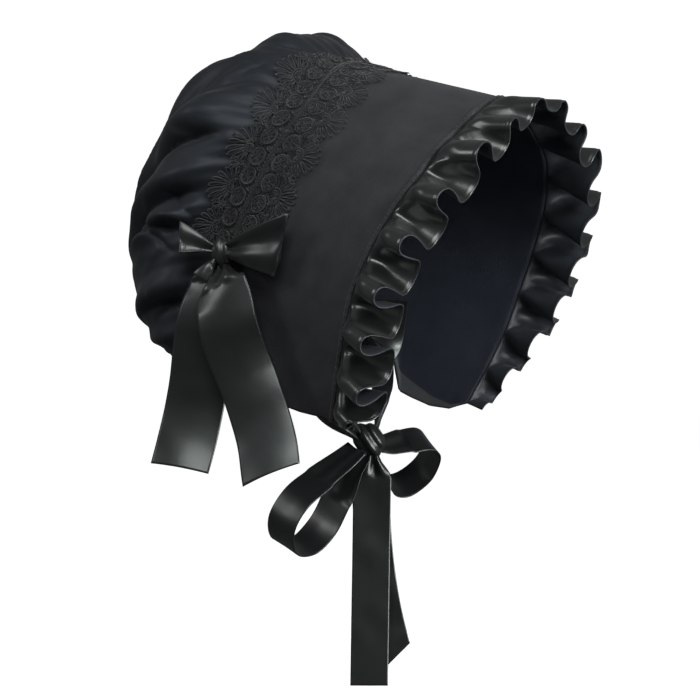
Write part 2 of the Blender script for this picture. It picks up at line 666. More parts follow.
# Smaller folds that show on the right side. Columns: seam place and depth of its start, its middle and its
# end, half its width and its height in metres. A minus height is a sharp crease.
SHARP_FOLDS = (
    (-0.36, 0.32, -0.385, 0.25, -0.42, 0.11, 0.0030, -0.0050),
    (-0.31, 0.40, -0.30, 0.27, -0.25, 0.16, 0.0060, 0.0035),
    (-0.28, 0.20, -0.25, 0.14, -0.21, 0.09, 0.0035, -0.0035),
    (-0.53, 0.30, -0.525, 0.22, -0.53, 0.13, 0.0055, 0.0035),
    (-0.51, 0.30, -0.565, 0.21, -0.62, 0.11, 0.0040, -0.0045),
    (-0.515, 0.47, -0.60, 0.22, -0.63, 0.11, 0.0040, 0.0040),
    (-0.515, 0.50, -0.635, 0.315, -0.70, 0.19, 0.0025, -0.0045),
    (-0.765, 0.40, -0.785, 0.24, -0.795, 0.13, 0.0090, 0.0030),
    (-0.84, 0.45, -0.83, 0.30, -0.80, 0.17, 0.0030, -0.0035),
    (-0.16, 0.13, -0.145, 0.08, -0.12, 0.045, 0.0022, -0.0040),
    (-0.20, 0.19, -0.215, 0.15, -0.22, 0.10, 0.0025, -0.0030),
    (0.03, 0.05, 0.05, 0.12, 0.06, 0.25, 0.0025, -0.0040),
)
SMALL_FOLDS = 46
# Where the soft cloth has settled. Columns: place along the seam, share of the way to the nape, half-width and
# half-length of the hollow, depth in metres.
SETTLED = (
    (0.07, 0.22, 0.10, 0.09, 0.0075),
    (-0.125, 0.25, 0.10, 0.09, 0.0135),
    (-0.245, 0.34, 0.10, 0.09, 0.0075),
    (-0.315, 0.49, 0.12, 0.12, 0.0120),
    (-0.34, 0.60, 0.12, 0.08, 0.0070),
    (0.30, 0.35, 0.16, 0.16, 0.0080),
    (0.55, 0.55, 0.16, 0.16, 0.0070),
    (-0.80, 0.74, 0.12, 0.14, 0.0055),
    (-1.00, 0.72, 0.10, 0.16, 0.0045),
)


def settled(u, w):
    """How far the crown's soft cloth has sunk in below its base."""
    depth = np.zeros(np.broadcast(u, w).shape)
    for at_u, at_w, wide, long, deep in SETTLED:
        depth += deep * np.exp(-(((u - at_u) / wide) ** 2) - ((w - at_w) / long) ** 2)
    return depth


def crown_base(u, w):
    """The crown without its folds: w from the seam (0) to the nape (1), one bent section for each u."""
    u, w = np.broadcast_arrays(np.asarray(u, float), np.asarray(w, float))
    grid, _, _ = smooth_curve(CROWN_SECTIONS, 12)
    rise, swell, spread, back, height = (np.interp(np.abs(u), grid[:, 0], grid[:, k]) for k in range(1, 6))
    start = on_seam(crown_seam, u)
    start[..., 1] += GAP
    run = seam_run(crown_seam, u)
    out_of_seam = unit(np.stack([-run[..., 2], np.zeros_like(u), run[..., 0]], -1))
    first = start + out_of_seam * (CROWN_RISE * rise)[..., None]
    first[..., 1] += CROWN_SWELL * swell
    same = np.ones_like(u)
    end = np.stack([NAPE_HALF_WIDTH * u, NAPE_DEPTH * same, (BRIM_CLOTH - SEAM_FALL) * same], -1)
    second = end.copy()
    second[..., 0] += np.sign(u) * NAPE_HALF_WIDTH * spread
    second[..., 1] += CROWN_BACK_SWELL * back
    second[..., 2] += CROWN_BACK_SWELL * height
    w = w[..., None]
    return start * (1 - w) ** 3 + 3 * first * w * (1 - w) ** 2 + 3 * second * w**2 * (1 - w) + end * w**3


def broad_folds(u, w):
    """How far the crown's broad folds stand off its base. Creases are sharp at the bottom."""
    height = np.zeros(np.broadcast(u, w).shape)
    for at_seam, at_back, start, end, half_width, share in CROWN_FOLDS:
        middle = at_seam + (at_back - at_seam) * ease(w / end)
        reach = ease((w - start) / 0.16) * ease((1.15 * end - w) / 0.30)
        off = np.abs(u - middle) / half_width
        profile = np.exp(-(off**2)) if share > 0 else np.exp(-1.25 * off**1.25)
        height += share * FOLD_HEIGHT * reach * profile
    return height


def gathers(u, w):
    """Small tucks where the cloth is drawn into the crown seam, and into the nape."""
    turns = math.pi * crown_seam[2] / GATHER_PITCH
    tuck = np.cos(turns * u + 2.5 * uneven(u * 9, 0.5, 21))
    strength = 0.6 + 0.4 * uneven(u * 14, 3.5, 22)
    near_seam = ease(w / 0.03) * ease((0.42 + 0.10 * uneven(u * 20, 1.5, 23) - w) / 0.30)
    at_nape = ease((w - 0.74) / 0.22)
    nape_tuck = np.cos(turns * 0.45 * u + 2.0 * uneven(u * 6, 7.5, 24))
    return GATHER_HEIGHT * (tuck * strength * near_seam + 2.2 * nape_tuck * at_nape)


def crown_relief(u, w):
    """How far the crown's cloth stands off its base, without its fine folds."""
    return broad_folds(u, w) + gathers(u, w) - settled(u, w)


def fold_lines():
    """The sharp folds of the table and small ones at random places, mostly running back from the seam."""
    chance = np.random.default_rng(31)
    rows = list(SHARP_FOLDS)
    for _ in range(SMALL_FOLDS):
        u0, w0 = chance.uniform(-0.97, 0.97), chance.uniform(0.08, 0.75)
        reach = chance.uniform(0.08, 0.24)
        lean = chance.normal(0, 0.05) - 0.10 * np.sign(u0) * reach
        bend = chance.normal(0, 0.012)
        height = chance.uniform(0.0003, 0.0011) * chance.choice((-1.2, 1))
        width = chance.uniform(0.0030, 0.0075)
        rows.append((u0, w0, u0 + lean / 2 + bend, w0 + reach / 2, u0 + lean, w0 + reach, width, height))
    return rows


def fine_folds(base):
    """How far the sharp and small folds stand off the crown's base at the points of a grid."""
    height = np.zeros(base.shape[:2])
    share = np.linspace(0, 1, 25)
    for u0, w0, u1, w1, u2, w2, width, rise in fold_lines():
        bow = (1 - share) ** 2, 2 * share * (1 - share), share**2
        u1, w1 = 2 * u1 - (u0 + u2) / 2, 2 * w1 - (w0 + w2) / 2
        line = crown_base(u0 * bow[0] + u1 * bow[1] + u2 * bow[2], w0 * bow[0] + w1 * bow[1] + w2 * bow[2])
        low, high = line.min(0) - 5 * width, line.max(0) + 5 * width
        near = ((base > low) & (base < high)).all(-1)
        if not near.any():
            continue
        apart = np.linalg.norm(base[near][:, None] - line[None], axis=2)
        closest = apart.argmin(1)
        taper = np.sin(np.pi * np.clip(share[closest], 0.02, 0.98)) ** 0.7
        off = apart.min(1) / width
        profile = np.exp(-(off**2)) if rise > 0 else np.exp(-1.3 * off**1.2)
        height[near] += rise * taper * profile
    return height


def satin_group():
    """Long floats lying side by side: fine lines along the cloth, with a little slack here and there."""
    inputs = (("Place", "vector"), ("Float", "float"), ("Lines", "float"))
    group, given, out = new_group("satin floats", inputs, (("Height", "float"), ("Shade", "float")))
    parts = add(group, "ShaderNodeSeparateXYZ", Vector=given.outputs["Place"])
    along = sums(group, "DIVIDE", parts.outputs[0], given.outputs["Float"])
    across_lines = sums(group, "DIVIDE", parts.outputs[1], given.outputs["Lines"])
    stretched = add(group, "ShaderNodeCombineXYZ", i0=along, i1=across_lines)
    floats = add(group, "ShaderNodeTexNoise", Vector=stretched.outputs[0], Scale=1.0, Detail=2.0)
    slack = add(group, "ShaderNodeTexNoise", Vector=given.outputs["Place"], Scale=55.0, Detail=3.0)
    group.links.new(floats.outputs["Fac"], out.inputs["Height"])
    loose = sums(group, "MULTIPLY", slack.outputs["Fac"], 0.5)
    shade = sums(group, "MULTIPLY_ADD", floats.outputs["Fac"], 0.5, loose)
    group.links.new(shade, out.inputs["Shade"])
    return group


satin_floats = satin_group()


def satin(name, dark, light, roughness, gloss, polish, wrinkle, shine=(1, 1, 1, 1)):
    """Glossy satin. polish is the share of a smooth coat on top, wrinkle the depth of its finest creases, and
    shine the colour of its gloss."""
    material, tree = new_material(name)
    metres = add(tree, "ShaderNodeUVMap", {"uv_map": "UVMap"}).outputs[0]
    floats = place(tree, satin_floats, Place=metres, Float=0.004, Lines=0.0003)
    patches = place(tree, mottling, Place=metres, Size=0.030, Spread=2.0)["Mask"]
    tone = sums(tree, "MULTIPLY_ADD", floats["Shade"], 0.6, sums(tree, "MULTIPLY", patches, 0.4))
    colour = blend_of(tree, tone, dark, light)
    rough = sums(tree, "MULTIPLY_ADD", floats["Shade"], 0.16, roughness - 0.08)
    creases = add(tree, "ShaderNodeTexNoise", Vector=metres, Scale=38.0, Detail=5.0, Distortion=0.9)
    crumple = add(tree, "ShaderNodeBump", Height=creases.outputs["Fac"], Strength=0.6, Distance=wrinkle)
    relief = {"Height": floats["Height"], "Normal": crumple.outputs[0]}
    fine = add(tree, "ShaderNodeBump", Strength=0.35, Distance=0.00004, **relief).outputs[0]
    gleam = {"Specular_IOR_Level": gloss, "Specular_Tint": shine, "Sheen_Weight": 0.06}
    coat = {"Coat_Weight": polish, "Coat_Roughness": 0.24, "Coat_IOR": 1.45}
    surface(tree, Base_Color=colour, Roughness=rough, Normal=fine, **gleam, **coat)
    return material


crown_satin = satin("crown satin", CROWN_DARK, CROWN_LIGHT, **CROWN_FINISH)
crown_back = satin("crown satin back", CROWN_BACK_DARK, CROWN_BACK_LIGHT, **CROWN_BACK_FINISH)

u = np.linspace(-1, 1, 341)[:, None]
w = (np.linspace(0, 1, 125) ** 1.12)[None, :]
base = crown_base(u, w)
crown_out = facing_out(crown_base, u, w)
unevenness = uneven(u * 26, w * 9, 41) + 0.5 * uneven(u * 55, w * 16, 42)
crown_lift = crown_relief(u, w)
crown_lift += FINE_FOLD_SHARE * fine_folds(base) * ease(w / 0.06) * ease((1 - w) / 0.05)
crown_lift += CROWN_UNEVEN * unevenness * ease(w / 0.06)
crown_grid = base + crown_out * crown_lift[..., None]
crown = cloth("crown_satin", crown_grid, CROWN_CLOTH, -1, (crown_satin, crown_back))
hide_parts("crown")

# The frill is one strip of satin, pleated into the face seam. Each pleat is pinched flat at the seam, swells
# out into a round mouth at the free edge, and dips inward between two mouths. The free edge has a narrow hem.
FRILL_CLOTH = 0.0008
FRILL_DEPTH = 0.035
FRILL_END_DEPTH = 0.014
FRILL_RIGHT_END_PLEATS = 1.2
FRILL_LEFT_END_PLEATS = 3.5
FRILL_PITCH = 0.0314
FRILL_SWING = 0.0155
FRILL_CURL = 0.0052
FRILL_PINCH = 0.0011
FRILL_HEM = 0.00035
FRILL_FLARE = math.radians(8)
FRILL_SEWN = 0.04
FRILL_DOME_AT_SEAM = 0.45
FRILL_DOME_AT_EDGE = 0.23
FRILL_SAMPLES = 34
FRILL_DARK = (0.0048, 0.0054, 0.0058, 1)
FRILL_LIGHT = (0.0105, 0.0120, 0.0120, 1)
FRILL_SHINE = (0.92, 1.00, 0.96, 1)
FRILL_FINISH = {"roughness": 0.31, "gloss": 1.00, "polish": 0.40, "wrinkle": 0.0006, "shine": FRILL_SHINE}
FRILL_BACK_DARK = (0.0200, 0.0240, 0.0300, 1)
FRILL_BACK_LIGHT = (0.0320, 0.0380, 0.0460, 1)
FRILL_BACK_FINISH = {"roughness": 0.50, "gloss": 0.40, "polish": 0.05, "wrinkle": 0.0006}

# How deep the frill's pleats swing. Columns: place on the seam from the top centre, share of FRILL_SWING.
FRILL_SWINGS = (
    (0.00, 0.34),
    (0.12, 0.42),
    (0.25, 0.66),
    (0.55, 0.98),
    (0.80, 1.10),
    (1.00, 1.00),
)


def frill_at(k, t, pleats):
    """The frill's middle face: k counts pleats from the top centre, t runs from the seam to the free edge. A
    pleat's dome is wide and its dip narrow at the seam, and the other way round at the free edge."""
    k, t = np.broadcast_arrays(np.asarray(k, float), np.asarray(t, float))
    stretch = 0.05 * uneven(k * 0.9, 2.5, 51)
    place_on = np.sign(k) * (np.abs(k) + 0.33 * np.sin(np.pi * np.abs(k) / pleats)) / pleats
    point, along, forward, outward = face_frame(place_on)
    swings = np.array(FRILL_SWINGS)
    swing = FRILL_SWING * np.interp(np.abs(place_on), swings[:, 0], swings[:, 1])
    swing = swing * (1 + 0.14 * uneven(k + 0.3, 6.5, 52))
    phase = 2 * np.pi * (k + stretch * np.sin(np.pi * k) ** 2) + np.pi
    free = np.clip((t - FRILL_SEWN) / (1 - FRILL_SEWN), 0, 1)
    from_crest = np.abs((phase / (2 * np.pi) + 0.5) % 1 - 0.5)
    dome_half = FRILL_DOME_AT_SEAM + (FRILL_DOME_AT_EDGE - FRILL_DOME_AT_SEAM) * free**0.7
    dome = np.cos(np.pi / 2 * np.clip(from_crest / dome_half, 0, 1)) ** 0.85
    dip = np.cos(np.pi / 2 * np.clip((0.5 - from_crest) / (0.5 - dome_half), 0, 1))
    rises = 0.66 * np.sin(np.pi / 2 * np.clip(2.0 * free, 0, 1)) ** 0.7 + 0.34 * free
    wave = np.where(from_crest < dome_half, dome, -dip)
    lift = swing * np.where(wave > 0, wave * rises, wave * free**0.9)
    slide = FRILL_CURL * free**0.8 * (0.82 * np.sin(2 * phase) - 0.52 * np.sin(phase)) * swing / FRILL_SWING
    pinch = np.sin(np.pi * np.clip(free / 0.60, 0, 1)) * np.cos(3 * phase + 1.3 * uneven(k, 4.5, 53))
    reach = FRILL_DEPTH * t * np.sqrt(np.clip(1 - (0.92 * swing * wave / FRILL_DEPTH) ** 2, 0.2, 1))
    reach = reach * (1 + 0.04 * uneven(k * 1.7, 8.5, 54))
    ahead = forward * math.cos(FRILL_FLARE) + outward * math.sin(FRILL_FLARE)
    lift = lift + FRILL_PINCH * pinch
    free_cloth = ahead * reach[..., None] + outward * lift[..., None] + along * slide[..., None]
    end_pleats = np.where(k < 0, FRILL_RIGHT_END_PLEATS, FRILL_LEFT_END_PLEATS)
    narrowing = ease((np.abs(k) - pleats) / end_pleats + 1)
    depth = 1 - (1 - FRILL_END_DEPTH / FRILL_DEPTH) * narrowing
    return point - outward * (BRIM_CLOTH / 2) + forward * GAP + free_cloth * depth[..., None]


pleats = round(face_seam[2] / 2 / FRILL_PITCH)
k = np.linspace(-pleats, pleats, 2 * pleats * FRILL_SAMPLES + 1)[:, None]
t = np.concatenate([[0], np.linspace(FRILL_SEWN, 0.90, 18), [0.925, 0.94, 0.96, 0.98, 1]])[None, :]
frill_grid = frill_at(k, t, pleats)
frill_normal = unit(np.cross(np.gradient(frill_grid, axis=0), np.gradient(frill_grid, axis=1)))
frill_grid = frill_grid + frill_normal * FRILL_HEM * ease((t - 0.93) / 0.015)[..., None]
frill_satin = satin("frill satin", FRILL_DARK, FRILL_LIGHT, **FRILL_FINISH)
frill_back = satin("frill satin back", FRILL_BACK_DARK, FRILL_BACK_LIGHT, **FRILL_BACK_FINISH)
frill = cloth("frill_satin", frill_grid, FRILL_CLOTH, 0, (frill_back, frill_satin))
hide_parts("frill")

# The lace is a band of guipure over the crown seam, from one side over the top to the other. Its motifs are
# thick matt cords joined by bars, with fans of small loops along both edges, and it is tacked down by its edges.
LACE_WIDTH = 0.070
LACE_BEHIND = 0.028
LACE_SIDE_SHIFT = 0.011
LACE_TOP_SHARE = 0.35
LACE_SCALLOP = 0.029
LACE_HALF_LENGTH = 0.182
LACE_LIFT = 0.0010
LACE_CORD = 0.00046
LACE_THREAD = 0.00034
LACE_BAR = 0.00022
LACE_LAYER = 0.00035
LACE_FLATNESS = 0.85
LACE_SIDES = 3
LACE_DARK = (0.0070, 0.0072, 0.0080, 1)
LACE_LIGHT = (0.0640, 0.0720, 0.0760, 1)
LACE_FINISH = {"pitch": 0.0009, "depth": 0.00015, "roughness": 0.72, "fuzz": 0.25}

# The lace's motifs are drawn in millimetres. These are the step between their points, the pitch of the net, the
# radius of the small loops at the edge, and how far whole motifs and single points stray.
STEP_MM = 1.2
NET_MM = 2.1
EDGE_LOOP_MM = 0.75
MISPLACED_MM = 0.14
SHAKEN_MM = 0.05


def neighbours(values, reach, axis):
    """The values moved by up to this many places each way, with the ends held."""
    places = np.arange(values.shape[axis])
    steps = range(-reach, reach + 1)
    return [np.take(values, np.clip(places + step, 0, len(places) - 1), axis=axis) for step in steps]


def lace_bed():
    """The surface under the lace: places along the seam, distances ahead of it, points and normals."""
    u = np.linspace(-1, 1, 261)
    span = np.linspace(-LACE_WIDTH, LACE_WIDTH + LACE_SIDE_SHIFT, 141)
    w = np.linspace(0.45, 0, 46)
    v = np.linspace(0, 0.75, 46)[1:]
    base = np.concatenate([crown_base(u[:, None], w[None, :]), brim_at(u[:, None], v[None, :])], axis=1)
    height = np.concatenate([crown_relief(u[:, None], w[None, :]), np.zeros((len(u), len(v)))], axis=1)
    travelled = np.stack([travel(row) for row in base])
    travelled -= travelled[:, len(w) - 1 : len(w)]
    values = np.concatenate([base, height[..., None]], axis=2)
    even = np.array([[np.interp(span, d, row[:, j]) for j in range(4)] for d, row in zip(travelled, values)])
    even = even.transpose(0, 2, 1)
    base = np.mean(neighbours(np.mean(neighbours(even[..., :3], 5, 1), axis=0), 2, 0), axis=0)
    height = np.max(neighbours(np.max(neighbours(even[..., 3], 3, 1), axis=0), 2, 0), axis=0)
    height = np.mean(neighbours(np.mean(neighbours(height, 3, 1), axis=0), 2, 0), axis=0)
    normal = unit(np.cross(np.gradient(base, axis=0), -np.gradient(base, axis=1)))
    return u, span, base + normal * (height + LACE_LIFT + GAP)[..., None], normal


bed_u, bed_span, bed_points, bed_normals = lace_bed()


def on_bed(u, x):
    """The point and normal of the lace's bed at places along the seam and distances ahead of it."""
    i = np.clip(np.interp(u, bed_u, np.arange(len(bed_u))), 0, len(bed_u) - 1.001)
    j = np.clip(np.interp(x, bed_span, np.arange(len(bed_span))), 0, len(bed_span) - 1.001)
    i0, j0 = i.astype(int), j.astype(int)
    a, b = (i - i0)[:, None], (j - j0)[:, None]
    found = []
    for grid in (bed_points, bed_normals):
        near = grid[i0, j0] * (1 - b) + grid[i0, j0 + 1] * b
        far = grid[i0 + 1, j0] * (1 - b) + grid[i0 + 1, j0 + 1] * b
        found.append(near * (1 - a) + far * a)
    return found[0], unit(found[1])


def ring_line(centre, radius, start=0.0, end=360.0):
    """Points on an arc."""
    count = max(7, int(abs(end - start) / 360 * math.tau * radius / STEP_MM))
    angle = np.radians(np.linspace(start, end, count))
    return np.stack([centre[0] + radius * np.sin(angle), centre[1] + radius * np.cos(angle)], -1)


def loop_line(centre, angle, inner, outer, width):
    """A drop-shaped loop that stands out of a centre at this angle."""
    t = np.linspace(0, 1, 11)
    out = inner + (outer - inner) * np.sin(np.pi * t) ** 0.8
    side = width / 2 * np.sin(math.tau * t) * np.sin(np.pi * t) ** 0.3
    a = math.radians(angle)
    x = centre[0] + out * math.sin(a) + side * math.cos(a)
    return np.stack([x, centre[1] + out * math.cos(a) - side * math.sin(a)], -1)


def motif_lines():
    """One repeat of the lace, as lines in millimetres: along the band and out from its middle line.
    Each has its thread's radius in metres, and its layer."""
    half = LACE_SCALLOP * 1000 / 2
    lines = []
    for edge in (-1, 1):
        fan = (0.0, 17.5)
        parts = []
        for angle in np.linspace(-78, 78, 11):
            tip = 17.0 - 4.6 * abs(angle / 78) ** 1.5
            way = math.radians(angle)
            end = (fan[0] + tip * math.sin(way), fan[1] + tip * math.cos(way))
            parts += [(loop_line(fan, angle, 5.4, tip, 2.3), LACE_THREAD, 0)]
            parts += [(ring_line(end, EDGE_LOOP_MM), LACE_THREAD, 1)]
        parts += [(ring_line(fan, 5.6, -112, 112), LACE_CORD, 1), (ring_line(fan, 4.3, -118, 118), LACE_CORD, 0)]
        parts += [(loop_line(fan, a, 0.6, 4.0, 1.9), LACE_THREAD, 1) for a in range(-100, 101, 40)]
        for centre in ((-half / 2, 9.2), (half / 2, 9.2)):
            parts += [(ring_line(centre, 5.6), LACE_CORD, 2), (ring_line(centre, 4.5), LACE_THREAD, 1)]
            parts += [(loop_line(centre, a, 0.9, 3.9, 1.9), LACE_THREAD, 1) for a in range(0, 360, 60)]
            parts += [(ring_line(centre, 0.9), LACE_THREAD, 2)]
            parts += [(ring_line(centre, 6.8, -75, 75), LACE_THREAD, 0)]
        for centre, radius in (((0, 3.9), 1.5), ((half, 3.9), 1.5), ((half, 15.0), 2.4), ((half, 19.0), 1.6)):
            parts += [(ring_line(centre, radius), LACE_THREAD, 1)]
            parts += [(ring_line(centre, radius * 0.45), LACE_THREAD, 0)]
        parts += [(loop_line((half, 19.5), a, 1.6, 7.5, 2.2), LACE_THREAD, 0) for a in (-26, 0, 26)]
        parts += [(ring_line((x, 1.9), 0.75), LACE_THREAD, 0) for x in np.arange(1 - half, half, 2.4)]
        lines += [(line * (1, edge), radius, layer) for line, radius, layer in parts]
        x = np.linspace(-half, half, 25)
        lines.append((np.stack([x, edge * (0.75 + 0 * x)], -1), LACE_CORD, 1))
    for slope in (-1, 1):
        for first in np.arange(-half, half, NET_MM):
            y = np.linspace(-19, 19, 21)
            x = first + slope * y * 0.55 + 0.35 * np.sin(y * 1.7 + first)
            lines.append((np.stack([x, y], -1), LACE_BAR, -1))
    return lines


scallops = round(2 * LACE_HALF_LENGTH / LACE_SCALLOP)
lace_share = 2 * LACE_HALF_LENGTH / crown_seam[2]
lace_middle = LACE_WIDTH / 2 - LACE_BEHIND
chance = np.random.default_rng(61)
lace_runs = []
for scallop in range(scallops):
    centre = (scallop + 0.5) / scallops * 2 - 1
    for line, radius, layer in motif_lines():
        shaken = line + chance.normal(0, MISPLACED_MM, (1, 2)) + chance.normal(0, SHAKEN_MM, line.shape)
        u = lace_share * (centre + shaken[:, 0] / 1000 / LACE_HALF_LENGTH)
        shift = LACE_SIDE_SHIFT * ease(np.abs(u) / LACE_TOP_SHARE)
        x = lace_middle + shaken[:, 1] / 1000 + shift
        tucked = 0.12 + 0.88 * ease((np.abs(u) - 0.02) / 0.20)
        kept = (x > shift - LACE_BEHIND * tucked) & (np.abs(u) < lace_share)
        if kept.sum() < 4 or not kept.all() and kept.sum() < 0.6 * len(kept):
            continue
        first = int(np.argmax(kept))
        last = first + int(np.argmin(np.append(kept[first:], False)))
        if last - first < 4:
            continue
        point, normal = on_bed(u[first:last], x[first:last])
        point = point + normal * (radius + layer * LACE_LAYER)
        lace_runs.append((point, radius * chance.uniform(0.92, 1.1), normal, LACE_FLATNESS))
lace_thread = thread_material("lace cord", LACE_DARK, LACE_LIGHT, **LACE_FINISH)
lace = tubes("guipure_lace", lace_runs, LACE_SIDES, lace_thread)
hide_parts("lace_band")

# The side bow covers the lace's right end. It is one wide satin ribbon, tied in two flat loops and two tails
# that come out of its wrapped knot in small flutes, and it is tacked on through the knot.
RIBBON_CLOTH = 0.0006
SIDE_RIBBON = 0.038
SIDE_PINCH = 0.22
SIDE_FRONT_LOOP = 0.047
SIDE_LOOP_PUFF = 0.009
SIDE_TAIL = 0.128
SIDE_TAIL_DOME = 0.0085
SIDE_TAIL_KICK = 0.009
SIDE_TAIL_DRIFT = 0.65
SIDE_TAIL_CURL = 0.0022
SIDE_TAIL_TURN = math.radians(20)
RIBBON_GAP = 0.0010
SIDE_FLUTES = 2
FLUTE_LIMIT = 0.0014
FLUTE_WIDTH = 0.025
KNOT_FOLDS = 2.5
KNOT_FOLD_DEPTH = 0.10
LACE_BULK = 0.0018
RIBBON_DARK = (0.0060, 0.0066, 0.0070, 1)
RIBBON_LIGHT = (0.0130, 0.0148, 0.0150, 1)
RIBBON_SHINE = (0.91, 1.00, 0.97, 1)
RIBBON_FINISH = {"roughness": 0.36, "gloss": 0.80, "polish": 0.20, "wrinkle": 0.0004, "shine": RIBBON_SHINE}

# The tails' sway, by share of their length. Columns: share, front tail, back tail.
SIDE_TAIL_SWINGS = (
    (0.00, 0.00, 0.00),
    (0.10, 0.24, 0.12),
    (0.20, 0.34, 0.25),
    (0.45, 0.47, 0.40),
    (0.65, 0.70, 0.53),
    (0.85, 0.92, 0.76),
    (1.00, 1.00, 1.00),
)
# A flat loop and a round one seen along their length, from the knot out, round and back.
# Columns: share of the loop's length, share of its opening.
FLAT_LOOP = (
    (0.00, 0.05),
    (0.14, 0.34),
    (0.34, 0.50),
    (0.62, 0.40),
    (0.90, 0.20),
    (1.00, 0.00),
    (0.90, -0.20),
    (0.62, -0.34),
    (0.34, -0.40),
    (0.12, -0.17),
    (0.00, -0.05),
)
ROUND_LOOP = (
    (0.00, 0.05),
    (0.14, 0.12),
    (0.36, 0.29),
    (0.64, 0.47),
    (0.88, 0.38),
    (1.00, 0.00),
    (0.88, -0.38),
    (0.64, -0.47),
    (0.36, -0.29),
    (0.14, -0.12),
    (0.00, -0.05),
)


def ribbon(name, centres, sides, width, drawn, flutes, slant=0.0, ripple=0.0, seed=1, curl=0.0, lean=None):
    """A ribbon through these centres, each with the way across it. drawn is the share of its width that it
    keeps at each of them, and the rest stands in flutes. slant is how far its end is cut on the skew for its
    width, curl how far its edges bend back, and lean how far one edge is ahead of the other."""
    across = np.linspace(-0.5, 0.5, 27)
    run = unit(np.gradient(centres, axis=0))
    facing = unit(np.cross(run, sides))
    drawn = np.broadcast_to(drawn, len(centres)).astype(float)
    flute_width = width * drawn / flutes
    flute_rise = np.minimum(flute_width / 4 * np.sqrt(np.maximum(1 / drawn**2 - 1, 0)), FLUTE_LIMIT)
    travelled = travel(centres)
    rise = flute_rise[:, None] * np.cos(math.tau * flutes * across + seed)[None, :]
    rise = rise + ripple * uneven(travelled[:, None] / 0.016, across[None, :] * 1.6 + 5, seed)
    rise = rise + curl * (2 * across[None, :]) ** 2 * ease((travelled - 0.006) / 0.012)[:, None]
    grid = centres[:, None] + sides[:, None] * (across[None, :] * width * drawn[:, None])[..., None]
    grid = grid + facing[:, None] * rise[..., None]
    skew = slant * width * across[None, :] * ease((travelled / travelled[-1] - 0.8) / 0.2)[:, None]
    grid = grid + run[:, None] * skew[..., None]
    if lean is not None:
        grid = grid + lean[:, None] * across[None, :, None]
    piece = cloth(name + "_ribbon", grid, RIBBON_CLOTH, 0, (ribbon_satin,))
    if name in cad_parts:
        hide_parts(name)
    return piece


def seat(centre, half, way, start, edge, spread):
    """Where a ribbon's end comes out of a knot: moved out from start until its corners are just clear of it."""
    steps = np.arange(0, 0.03, 0.0001)[:, None, None, None] * unit(way)
    corners = np.linspace(-1, 1, 9)[:, None, None] * edge + np.array([-0.5, 0, 0.5])[:, None] * spread
    at = (start + steps + corners - centre) / (half + RIBBON_GAP)
    clear = np.linalg.norm(at, axis=-1).min(axis=(1, 2)) >= 1
    return start + steps[np.argmax(clear), 0, 0]


def ribbon_loop(name, centre, half, table, leaves, out, side, length, opening, width, pinch, fans, slant, seed):
    """A loop of ribbon that leaves a knot one way and heads out another. side is the way across it, fans the
    share of its length over which it widens, and slant how far its outer end is on the skew for its width."""
    shape = on_curve(smooth_curve(table), np.linspace(0, 1, 121))
    out = unit(out)
    side = unit(np.array(side) - out * np.dot(side, out))
    opens = np.cross(side, out)
    spread = opens * opening * (table[0][1] - table[-1][1])
    root = seat(centre, half, leaves, centre, side * width * pinch / 2, spread)
    centres = root + shape[:, :1] * out * length + shape[:, 1:] * opens * opening
    centres = centres - unit(root - centre) * (0.0025 * (1 - ease(shape[:, :1] / 0.15)))
    drawn = pinch + (1 - pinch) * np.clip(shape[:, 0] / fans, 0, 1) ** 0.85
    sides = np.tile(side, (len(centres), 1))
    lean = out * (slant * width * drawn * shape[:, 0])[:, None]
    return ribbon(name, centres, sides, width, drawn, width / FLUTE_WIDTH, ripple=0.0007, seed=seed, lean=lean)


def knot_wrap(name, centre, half, strip, beside):
    """The short stretch of ribbon wrapped round a knot. strip is the way it runs over the front, and beside
    the way across it, along which its small folds lie."""
    strip, beside = unit(strip), unit(beside)
    beside = unit(beside - strip * np.dot(strip, beside))
    outer = np.cross(strip, beside)
    turn = np.linspace(0, math.tau, 73)[:, None]
    across = np.linspace(-1, 1, 41)[None, :]
    folds = 1 + KNOT_FOLD_DEPTH * np.cos(math.pi * KNOT_FOLDS * across + 0.7 * np.sin(turn))
    bulge = (1 - 0.62 * np.abs(across) ** 2.4) * folds * (1 + 0.05 * uneven(turn * 1.4, across * 3, 71))
    along_reach, beside_reach, outer_reach = (1 / np.linalg.norm(way / half) for way in (strip, beside, outer))
    grid = centre + strip * (np.cos(turn) * bulge * along_reach)[..., None]
    grid = grid + outer * (np.sin(turn) * bulge * outer_reach)[..., None]
    grid = grid + beside * (across * beside_reach * 0.96)[..., None]
    piece = cloth(name, grid, RIBBON_CLOTH, -1, (ribbon_satin,))
    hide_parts(name.removesuffix("_wrap"))


ribbon_satin = satin("ribbon satin", RIBBON_DARK, RIBBON_LIGHT, **RIBBON_FINISH)

lace_u = np.linspace(-lace_share, lace_share, 200)
lace_x = np.linspace(0, LACE_WIDTH - LACE_BEHIND + LACE_SIDE_SHIFT, 48)
lace_skin = np.concatenate([on_bed(lace_u, np.full(len(lace_u), x))[0] for x in lace_x])
skin = np.concatenate([brim_grid.reshape(-1, 3), crown_grid.reshape(-1, 3), lace_skin - (LACE_BULK, 0, 0)])


def outermost(y, z):
    """The X of the bonnet's right side under the wide ribbon at this Y and Z."""
    near = (np.abs(skin[:, 1:] - (y, z)) < 0.55 * SIDE_RIBBON).all(axis=1)
    return skin[near, 0].min() if near.any() else 0.0


def middle_of(node):
    """The middle of a solid of the frame, and its half-sizes."""
    low, high = (np.array(corner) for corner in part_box(node))
    return (low + high) / 2, (high - low) / 2


side_knot, side_knot_half = middle_of("bow_knot")
knot_wrap("bow_knot_wrap", side_knot, side_knot_half, (0, 0.12, 1), (0, 1, 0))

